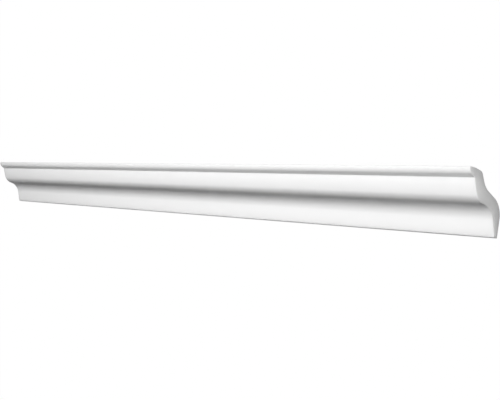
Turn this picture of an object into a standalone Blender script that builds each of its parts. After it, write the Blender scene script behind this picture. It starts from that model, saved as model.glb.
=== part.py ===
# A length of cornice moulding in rigid white foam, for the corner between a wall and a ceiling.
# It is one solid of constant section, cut square at both ends.
# X runs along the length, +Y points into the wall and +Z is up. The origin is on the wall face,
# half way along the length.
# In the section, depth is measured out from the wall and height up from the bottom edge.

import math

import bmesh
import bpy
from mathutils import Matrix, Vector

# Overall sizes
LENGTH = 2.000
HEIGHT = 0.115
PROJECTION = 0.100
MOUNT_HEIGHT = 0.018          # from the bottom edge up to the origin on the wall face

# Front of the section, from the ceiling down
FILLET_HEIGHT = 0.0098        # upright band under the ceiling
NOSE_RADIUS = 0.0131          # convex turn from the fillet into the sloping band under it
UNDERCUT_RUN = 0.0163         # sloping band
UNDERCUT_DROP = 0.0079
UNDERCUT_RADIUS = 0.0009      # inner corner where the sloping band meets the face
UPPER_FACE_RUN = 0.0057       # top part of the face, nearly upright
UPPER_FACE_DROP = 0.0183
FACE_RADIUS = 0.1430          # slight crown between the two parts of the face
LOWER_FACE_RUN = 0.0134       # rest of the face, leaning back as it goes down
LOWER_FACE_DROP = 0.0224
BULGE_RADIUS = 0.0324         # convex turn from the face into the soffit
SOFFIT_DROP = 0.0052          # fall of the soffit towards the wall
COVE_RADIUS = 0.0364          # concave turn from the soffit into the apron
APRON_RUN = 0.0172            # lowest face, leaning back to the bottom edge
BOTTOM_EDGE = 0.0085          # thickness at the bottom
BOTTOM_RADIUS = 0.0021

# Back of the section, from the wall up
LAND_RISE = 0.0092            # top of the wall face above the foot of the soffit
LAND_RADIUS = 0.0366          # convex turn from the wall face into the slanting back
BODY_SETBACK = 0.0132         # hollow of the back, in from the bulge
BODY_RISE = 0.0284            # hollow of the back, above the bulge
HOLLOW_RADIUS = 0.0325
CEILING_LAND = 0.0146         # flat part of the top, back from the fillet
RELIEF_RUN = 0.0198           # top behind the flat part, eased down for uneven ceilings
RELIEF_DROP = 0.0034
RELIEF_RADIUS = 0.0080
TOP_BACK_RADIUS = 0.0100

ARC_STEP = math.radians(3.0)
SMOOTH_ANGLE = math.radians(20.0)

FOAM_COLOUR = (0.88, 0.88, 0.88, 1.0)
FOAM_ROUGHNESS = 0.65


def section_corners():
    # (depth, height, radius) of each corner, once round: down the front, then up the back
    undercut_top = HEIGHT - FILLET_HEIGHT
    face_depth = PROJECTION - UNDERCUT_RUN
    face_top = undercut_top - UNDERCUT_DROP
    crown_depth = face_depth - UPPER_FACE_RUN
    crown_height = face_top - UPPER_FACE_DROP
    bulge_depth = crown_depth - LOWER_FACE_RUN
    bulge_height = crown_height - LOWER_FACE_DROP
    cove_depth = BOTTOM_EDGE + APRON_RUN
    cove_height = bulge_height - SOFFIT_DROP
    relief_depth = PROJECTION - CEILING_LAND
    return [
        (PROJECTION, HEIGHT, 0.0),
        (PROJECTION, undercut_top, NOSE_RADIUS),
        (face_depth, face_top, UNDERCUT_RADIUS),
        (crown_depth, crown_height, FACE_RADIUS),
        (bulge_depth, bulge_height, BULGE_RADIUS),
        (cove_depth, cove_height, COVE_RADIUS),
        (BOTTOM_EDGE, 0.0, BOTTOM_RADIUS),
        (0.0, 0.0, 0.0),
        (0.0, cove_height + LAND_RISE, LAND_RADIUS),
        (bulge_depth - BODY_SETBACK, bulge_height + BODY_RISE, HOLLOW_RADIUS),
        (relief_depth - RELIEF_RUN, HEIGHT - RELIEF_DROP, TOP_BACK_RADIUS),
        (relief_depth, HEIGHT, RELIEF_RADIUS),
    ]


def corner_angle(before, corner, after):
    return (before - corner).angle(after - corner)


def arc_reaches(points, radii):
    # how far each arc reaches along its two sides, limited so that two arcs on one side both fit
    count = len(points)
    wanted = []
    for i in range(count):
        angle = corner_angle(points[i - 1], points[i], points[(i + 1) % count])
        wanted.append(radii[i] / math.tan(angle / 2))
    reaches = list(wanted)
    for i in range(count):
        j = (i + 1) % count
        side = (points[j] - points[i]).length
        needed = wanted[i] + wanted[j]
        if needed > side:
            reaches[i] = min(reaches[i], wanted[i] * side / needed)
            reaches[j] = min(reaches[j], wanted[j] * side / needed)
    return reaches


def arc_points(before, corner, after, reach):
    if reach <= 0.0:
        return [corner]
    to_before = (before - corner).normalized()
    to_after = (after - corner).normalized()
    angle = to_before.angle(to_after)
    centre = corner + (to_before + to_after).normalized() * reach / math.cos(angle / 2)
    start = corner + to_before * reach - centre
    turn = math.pi - angle
    if to_before.cross(to_after) > 0:
        turn = -turn
    steps = max(2, math.ceil(abs(turn) / ARC_STEP))
    return [centre + Matrix.Rotation(turn * i / steps, 2) @ start for i in range(steps + 1)]


def section_outline():
    corners = section_corners()
    points = [Vector((depth, height)) for depth, height, radius in corners]
    reaches = arc_reaches(points, [radius for depth, height, radius in corners])
    outline = []
    for i, corner in enumerate(points):
        outline += arc_points(points[i - 1], corner, points[(i + 1) % len(points)], reaches[i])
    return outline


def foam_material():
    material = bpy.data.materials.new("white_foam")
    material.use_nodes = True
    shader = material.node_tree.nodes["Principled BSDF"]
    shader.inputs["Base Color"].default_value = FOAM_COLOUR
    shader.inputs["Roughness"].default_value = FOAM_ROUGHNESS
    shader.inputs["Metallic"].default_value = 0.0
    return material


def cornice_length():
    bm = bmesh.new()
    end = [bm.verts.new((-LENGTH / 2, -p.x, p.y - MOUNT_HEIGHT)) for p in section_outline()]
    face = bm.faces.new(end)
    extruded = bmesh.ops.extrude_face_region(bm, geom=[face], use_keep_orig=True)
    moved = [item for item in extruded["geom"] if isinstance(item, bmesh.types.BMVert)]
    bmesh.ops.translate(bm, verts=moved, vec=(LENGTH, 0.0, 0.0))
    bmesh.ops.recalc_face_normals(bm, faces=bm.faces)
    mesh = bpy.data.meshes.new("cornice_length")
    bm.to_mesh(mesh)
    bm.free()
    mesh.shade_smooth()
    mesh.set_sharp_from_angle(angle=SMOOTH_ANGLE)
    mesh.materials.append(foam_material())
    piece = bpy.data.objects.new("cornice_length", mesh)
    bpy.context.collection.objects.link(piece)
    return piece


def clear_scene():
    for obj in list(bpy.data.objects):
        bpy.data.objects.remove(obj, do_unlink=True)


def main():
    clear_scene()
    cornice_length()


main()
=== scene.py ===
import math

import bmesh
import bpy
from mathutils import Matrix, Vector


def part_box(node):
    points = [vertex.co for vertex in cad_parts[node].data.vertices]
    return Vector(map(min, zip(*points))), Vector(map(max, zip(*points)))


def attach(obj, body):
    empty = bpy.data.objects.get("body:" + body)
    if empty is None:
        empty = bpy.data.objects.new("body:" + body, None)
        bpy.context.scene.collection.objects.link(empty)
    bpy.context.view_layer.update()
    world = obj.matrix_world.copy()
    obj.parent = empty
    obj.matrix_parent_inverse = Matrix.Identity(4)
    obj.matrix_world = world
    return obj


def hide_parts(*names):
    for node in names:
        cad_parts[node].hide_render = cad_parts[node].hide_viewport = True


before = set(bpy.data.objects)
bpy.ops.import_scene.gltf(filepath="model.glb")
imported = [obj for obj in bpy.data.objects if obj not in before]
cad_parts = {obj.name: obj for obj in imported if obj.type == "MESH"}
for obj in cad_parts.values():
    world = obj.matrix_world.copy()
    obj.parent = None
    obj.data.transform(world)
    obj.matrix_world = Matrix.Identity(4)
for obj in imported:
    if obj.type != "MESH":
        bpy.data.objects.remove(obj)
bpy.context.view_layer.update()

nodeLow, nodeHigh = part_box("cornice_length")
scene = bpy.context.scene


# shader maths written as plain expressions on sockets

class Value:
    def __init__(self, tree, socket):
        self.tree = tree
        self.socket = socket

    def math(self, operation, first, second):
        node = self.tree.nodes.new("ShaderNodeMath")
        node.operation = operation
        for slot, item in zip(node.inputs, (first, second)):
            if isinstance(item, Value):
                self.tree.links.new(item.socket, slot)
            else:
                slot.default_value = item
        return Value(self.tree, node.outputs[0])

    def __add__(self, other):
        return self.math("ADD", self, other)

    def __radd__(self, other):
        return self.math("ADD", other, self)

    def __sub__(self, other):
        return self.math("SUBTRACT", self, other)

    def __rsub__(self, other):
        return self.math("SUBTRACT", other, self)

    def __mul__(self, other):
        return self.math("MULTIPLY", self, other)

    def __rmul__(self, other):
        return self.math("MULTIPLY", other, self)


class Material:
    def __init__(self, name):
        self.data = bpy.data.materials.new(name)
        self.data.use_nodes = True
        self.tree = self.data.node_tree
        self.shader = self.tree.nodes["Principled BSDF"]

    def node(self, kind, settings=None, sockets=None, output=0):
        made = self.tree.nodes.new(kind)
        for name, setting in (settings or {}).items():
            setattr(made, name, setting)
        for name, item in (sockets or {}).items():
            if isinstance(item, Value):
                self.tree.links.new(item.socket, made.inputs[name])
            else:
                made.inputs[name].default_value = item
        return Value(self.tree, made.outputs[output])

    def mix(self, factor, first, second):
        # a colour Mix node has its factor in socket 0, its colours in 6 and 7 and its result in 2
        sockets = {0: factor, 6: first, 7: second}
        return self.node("ShaderNodeMix", {"data_type": "RGBA"}, sockets, 2)

    def feed(self, name, item):
        if isinstance(item, Value):
            self.tree.links.new(item.socket, self.shader.inputs[name])
        else:
            self.shader.inputs[name].default_value = item


# the camera, where the photograph was taken from: below the moulding, off its near end

shot = {
    "place": (2.1637, -1.4716, -0.1624),
    "right": (0.61270, 0.77495, 0.15511),
    "forward": (-0.78961, 0.60853, 0.07872),
    "lens": 72.18,
    "sensor": 36.0,
    "clip": (0.05, 200.0),
}


def makeCamera():
    data = bpy.data.cameras.new("camera")
    data.lens = shot["lens"]
    data.sensor_width = shot["sensor"]
    data.clip_start, data.clip_end = shot["clip"]
    right = Vector(shot["right"]).normalized()
    back = -Vector(shot["forward"]).normalized()
    up = back.cross(right).normalized()
    right = up.cross(back)
    turn = Matrix((right, up, back)).transposed().to_4x4()
    camera = bpy.data.objects.new("camera", data)
    camera.matrix_world = Matrix.Translation(shot["place"]) @ turn
    scene.collection.objects.link(camera)
    scene.camera = camera
    print("camera set")


# the moulding: the CAD section, finely rounded, run out to the full length

moulding = {
    "height": 0.115,
    "projection": 0.100,
    "filletHeight": 0.0098,
    "noseRadius": 0.0131,
    "undercut": (0.0163, 0.0079),  # run and drop, as on the two parts of the face
    "undercutRadius": 0.0009,
    "upperFace": (0.0057, 0.0183),
    "faceRadius": 0.1430,
    "lowerFace": (0.0134, 0.0224),
    "bulgeRadius": 0.0324,
    "soffitDrop": 0.0052,
    "coveRadius": 0.0364,
    "apronRun": 0.0172,
    "bottomEdge": 0.0085,
    "bottomRadius": 0.0021,
    "landRise": 0.0092,
    "landRadius": 0.0366,
    "body": (0.0132, 0.0284),  # hollow of the back: in from the bulge and up from it
    "hollowRadius": 0.0325,
    "ceilingLand": 0.0146,
    "relief": (0.0198, 0.0034),  # run and drop behind the flat part of the top
    "reliefRadius": 0.0080,
    "topBackRadius": 0.0100,
    "arrisRadius": 0.0008,  # top front and bottom back edges
    "endArris": 0.0006,  # round the cut ends
    "endArrisSteps": 3,
    "arcStep": math.radians(2.0),
    "leastArcSteps": 3,
    "sharpAngle": math.radians(40.0),
}


def sectionCorners(m):
    # depth from the wall, height from the bottom edge and radius of each corner
    undercutTop = m["height"] - m["filletHeight"]
    faceDepth = m["projection"] - m["undercut"][0]
    faceTop = undercutTop - m["undercut"][1]
    swellDepth = faceDepth - m["upperFace"][0]
    swellHeight = faceTop - m["upperFace"][1]
    bulgeDepth = swellDepth - m["lowerFace"][0]
    bulgeHeight = swellHeight - m["lowerFace"][1]
    coveHeight = bulgeHeight - m["soffitDrop"]
    reliefDepth = m["projection"] - m["ceilingLand"]
    return [
        (m["projection"], m["height"], m["arrisRadius"]),
        (m["projection"], undercutTop, m["noseRadius"]),
        (faceDepth, faceTop, m["undercutRadius"]),
        (swellDepth, swellHeight, m["faceRadius"]),
        (bulgeDepth, bulgeHeight, m["bulgeRadius"]),
        (m["bottomEdge"] + m["apronRun"], coveHeight, m["coveRadius"]),
        (m["bottomEdge"], 0.0, m["bottomRadius"]),
        (0.0, 0.0, m["arrisRadius"]),
        (0.0, coveHeight + m["landRise"], m["landRadius"]),
        (bulgeDepth - m["body"][0], bulgeHeight + m["body"][1], m["hollowRadius"]),
        (reliefDepth - m["relief"][0], m["height"] - m["relief"][1], m["topBackRadius"]),
        (reliefDepth, m["height"], m["reliefRadius"]),
    ]


def arcReaches(places, radii):
    # how far each arc runs along its two sides, shared out where two arcs meet on one side
    nearlyMeet = 0.999  # they stop just short, so that no two vertices fall together
    wanted = []
    for i, place in enumerate(places):
        before = places[i - 1] - place
        after = places[(i + 1) % len(places)] - place
        wanted.append(radii[i] / math.tan(before.angle(after) / 2))
    reaches = list(wanted)
    for i, place in enumerate(places):
        j = (i + 1) % len(places)
        share = (places[j] - place).length / (wanted[i] + wanted[j])
        if share < 1.0:
            reaches[i] = min(reaches[i], wanted[i] * share * nearlyMeet)
            reaches[j] = min(reaches[j], wanted[j] * share * nearlyMeet)
    return reaches


def makeMoulding(m):
    bm = bmesh.new()
    corners = sectionCorners(m)
    verts = []
    for depth, height, radius in corners:
        verts.append(bm.verts.new((nodeLow.x, -depth, nodeLow.z + height)))
    bm.faces.new(verts)
    places = [v.co.copy() for v in verts]
    reaches = arcReaches(places, [radius for depth, height, radius in corners])
    for i, (vert, reach) in enumerate(zip(verts, reaches)):
        before = places[i - 1] - places[i]
        after = places[(i + 1) % len(places)] - places[i]
        turn = math.pi - before.angle(after)
        steps = max(m["leastArcSteps"], math.ceil(turn / m["arcStep"]))
        bmesh.ops.bevel(bm, geom=[vert], offset=reach, offset_type="OFFSET", affect="VERTICES",
                        segments=steps, profile=0.5, material=-1, clamp_overlap=False)
    cutEnd = bm.faces.layers.float.new("cutEnd")  # both are read by the foam material
    backSide = bm.faces.layers.float.new("backSide")
    run = bmesh.ops.extrude_face_region(bm, geom=list(bm.faces), use_keep_orig=True)
    moved = [item for item in run["geom"] if isinstance(item, bmesh.types.BMVert)]
    bmesh.ops.translate(bm, verts=moved, vec=(nodeHigh.x - nodeLow.x, 0.0, 0.0))
    bmesh.ops.recalc_face_normals(bm, faces=bm.faces)
    sameX = 1e-6  # the edges round both ends have one X
    ends = [edge for edge in bm.edges if abs(edge.verts[0].co.x - edge.verts[1].co.x) < sameX]
    bmesh.ops.bevel(bm, geom=ends, offset=m["endArris"], offset_type="OFFSET", affect="EDGES",
                    segments=m["endArrisSteps"], profile=0.5, material=-1, clamp_overlap=False)
    squareOn = 0.9  # least part of a normal for a cut end or a flat top
    turnedBack = 0.1  # least part of a normal for the back
    for face in bm.faces:
        normal = face.normal
        face[cutEnd] = 1.0 if abs(normal.x) > squareOn else 0.0
        face[backSide] = 1.0 if normal.y > turnedBack or normal.z > squareOn else 0.0
    mesh = bpy.data.meshes.new("corniceLength")
    bm.to_mesh(mesh)
    bm.free()
    mesh.shade_smooth()
    mesh.set_sharp_from_angle(angle=m["sharpAngle"])
    piece = bpy.data.objects.new("corniceLength", mesh)
    scene.collection.objects.link(piece)
    print("moulding made,", len(mesh.polygons), "faces")
    return piece


# white rigid foam: a fine smooth skin with faint lines along it, deeper on the back, and open
# cells where it is cut

foam = {
    "skinColour": (0.90, 0.90, 0.90, 1.0),
    "shadeColour": (0.885, 0.886, 0.885, 1.0),  # in soft clouds over the skin
    "dragColour": (0.76, 0.76, 0.755, 1.0),  # between the drag lines of the back
    "cutColour": (0.87, 0.87, 0.866, 1.0),
    "pitShadeColour": (0.80, 0.80, 0.795, 1.0),  # painted shade, in the middle of the open cells where they are deepest
    "scatter": 0.70,
    "scatterDepth": 0.018,
    "scatterSpread": (1.0, 1.0, 1.0),  # red, green and blue light go equally deep
    "skinRoughness": 0.50,
    "cloudRoughness": 0.08,  # added in the clouds
    "backRoughness": 0.10,  # added on the back
    "cutRoughness": 0.30,  # added on the cut ends
    "grainsPerMetre": 1100.0,
    "grainDetail": 2.0,
    "grainHeight": 0.00003,
    "linesPerMetre": 500.0,
    "lineDetail": 3.0,
    "lineStretch": 0.006,  # how many there are along the length, for each one across it
    "lineHeight": 0.00004,
    "backLines": 4.0,  # on the back the lines are higher by this many times their height
    "cellsPerMetre": 1150.0,
    "cellHeight": 0.00028,
    "cloudsPerMetre": 14.0,
    "cloudDetail": 3.0,
}


def makeFoam(f):
    material = Material("whiteFoam")
    place = material.node("ShaderNodeTexCoord", output="Object")
    cutEnd = material.node("ShaderNodeAttribute", {"attribute_name": "cutEnd"}, output="Fac")
    backSide = material.node("ShaderNodeAttribute", {"attribute_name": "backSide"}, output="Fac")

    grain = material.node("ShaderNodeTexNoise", sockets={
        "Vector": place, "Scale": f["grainsPerMetre"], "Detail": f["grainDetail"]})
    along = material.node("ShaderNodeMapping", sockets={
        "Vector": place, "Scale": (f["lineStretch"], 1.0, 1.0)})
    lines = material.node("ShaderNodeTexNoise", sockets={
        "Vector": along, "Scale": f["linesPerMetre"], "Detail": f["lineDetail"]})
    cells = material.node("ShaderNodeTexVoronoi", sockets={
        "Vector": place, "Scale": f["cellsPerMetre"]})
    clouds = material.node("ShaderNodeTexNoise", sockets={
        "Vector": place, "Scale": f["cloudsPerMetre"], "Detail": f["cloudDetail"]})

    lineHeight = f["lineHeight"] + f["lineHeight"] * f["backLines"] * backSide
    skinHeight = f["grainHeight"] * grain + lines * lineHeight
    height = skinHeight * (1.0 - cutEnd) + f["cellHeight"] * cells * cutEnd  # in metres
    bump = material.node("ShaderNodeBump", sockets={"Height": height, "Distance": 1.0})
    material.feed("Normal", bump)

    front = material.mix(clouds, f["skinColour"], f["shadeColour"])
    back = material.mix(lines, f["skinColour"], f["dragColour"])
    skin = material.mix(backSide, front, back)
    # painted shade: the cut ends are darker in the middle of each open cell, where the bump is
    # lowest
    cut = material.mix(cells, f["pitShadeColour"], f["cutColour"])
    material.feed("Base Color", material.mix(cutEnd, skin, cut))
    roughness = f["skinRoughness"] + f["cloudRoughness"] * clouds
    roughness = roughness + f["backRoughness"] * backSide + f["cutRoughness"] * cutEnd
    material.feed("Roughness", roughness)
    material.feed("Subsurface Weight", f["scatter"])
    material.feed("Subsurface Radius", f["scatterSpread"])
    material.feed("Subsurface Scale", f["scatterDepth"])
    print("foam material made")
    return material.data


# the floor, a storey's height below, a white backdrop all round and the studio light

studio = {
    "floorDrop": 2.4,
    "floorRadius": 12.0,
    "floorSides": 96,
    "floorColour": (0.25, 0.25, 0.25, 1.0),
    "floorRoughness": 0.8,
    "floorGlow": 0.78,
    "floorFade": 5.0,  # metres over which its edge thins out into the backdrop
    "backdropRadius": 40.0,
    "backdropSides": (48, 24),  # round and from pole to pole
    "backdropGlow": 1.0,
    "skyGlow": 0.02,
    "white": (1.0, 1.0, 1.0, 1.0),
    "black": (0.0, 0.0, 0.0, 1.0),
    "lampSize": 0.8,
    "lampAim": (0.0, 0.04),  # Y and Z of the point on the moulding that each lamp aims at
    "lamps": {  # place, where along the moulding it aims, and power in watts
        "frontLeft": ((-1.2, -2.21, 0.67), 0.1, 31.1),
        "frontMiddle": ((0.3, -2.23, 0.60), 0.1, 22.5),
        "frontRight": ((1.8, -2.23, 0.60), 0.1, 30.4),
        "levelRight": ((1.8, -2.30, 0.04), 0.1, 4.9),
        "lowLeft": ((-1.2, -2.09, -0.93), 0.1, 1.7),
        "nearEnd": ((3.0, -0.6, 0.0), 1.0, 15.0),
        "farEnd": ((-3.0, 0.6, 0.0), -1.0, 5.0),
        "behindLeft": ((-1.2, 2.2, 0.8), 0.1, 17.0),
        "behindMiddle": ((0.3, 2.2, 0.8), 0.1, 12.5),
    },
}


def stageObject(name, bm, material):
    mesh = bpy.data.meshes.new(name)
    bm.to_mesh(mesh)
    bm.free()
    # the stage is only looked at, so the lamps get all the light samples
    material.cycles.emission_sampling = "NONE"
    mesh.materials.append(material)
    made = bpy.data.objects.new(name, mesh)
    scene.collection.objects.link(made)
    return made


def softLight(name, place, aim, size, power):
    light = bpy.data.lights.new(name, "AREA")
    light.shape = "SQUARE"
    light.size = size
    light.energy = power
    lamp = bpy.data.objects.new(name, light)
    turn = (Vector(aim) - Vector(place)).to_track_quat("-Z", "Y").to_matrix().to_4x4()
    lamp.matrix_world = Matrix.Translation(place) @ turn
    lamp.visible_camera = False
    scene.collection.objects.link(lamp)


def makeStudio(s):
    paint = Material("paleFloor")
    paint.feed("Base Color", s["floorColour"])
    paint.feed("Roughness", s["floorRoughness"])
    paint.feed("Emission Color", s["white"])
    paint.feed("Emission Strength", s["floorGlow"])
    place = paint.node("ShaderNodeTexCoord", output="Object")
    reach = paint.node("ShaderNodeVectorMath", {"operation": "LENGTH"}, {"Vector": place}, "Value")
    inside = (s["floorRadius"] - reach) * (1.0 / s["floorFade"])
    fade = inside.math("MAXIMUM", inside.math("MINIMUM", inside, 1.0), 0.0)
    below = paint.node("ShaderNodeNewGeometry", output="Backfacing")
    paint.feed("Alpha", fade * (1.0 - below))  # it shows from above only
    bm = bmesh.new()
    bmesh.ops.create_circle(bm, cap_ends=True, segments=s["floorSides"], radius=s["floorRadius"])
    bmesh.ops.translate(bm, verts=bm.verts, vec=(0.0, 0.0, nodeLow.z - s["floorDrop"]))
    floor = stageObject("floor", bm, paint.data)
    floor.visible_diffuse = False
    floor.visible_glossy = False
    floor.visible_shadow = False

    white = Material("whiteBackdrop")
    white.feed("Base Color", s["black"])
    white.feed("Emission Color", s["white"])
    white.feed("Emission Strength", s["backdropGlow"])
    around, upwards = s["backdropSides"]
    bm = bmesh.new()
    bmesh.ops.create_uvsphere(bm, u_segments=around, v_segments=upwards,
                              radius=s["backdropRadius"])
    bmesh.ops.reverse_faces(bm, faces=bm.faces)
    backdrop = stageObject("backdrop", bm, white.data)
    backdrop.visible_diffuse = False
    backdrop.visible_glossy = False
    backdrop.visible_transmission = False
    backdrop.visible_shadow = False

    for name, (place, along, power) in s["lamps"].items():
        softLight(name, place, (along, *s["lampAim"]), s["lampSize"], power)

    world = bpy.data.worlds.new("studio")
    world.use_nodes = True
    scene.world = world
    sky = world.node_tree.nodes["Background"]
    sky.inputs["Color"].default_value = s["white"]
    sky.inputs["Strength"].default_value = s["skyGlow"]
    scene.view_settings.view_transform = "Standard"
    print("studio set")


makeCamera()
piece = makeMoulding(moulding)
piece.data.materials.append(makeFoam(foam))
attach(piece, "root")
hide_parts("cornice_length")
makeStudio(studio)
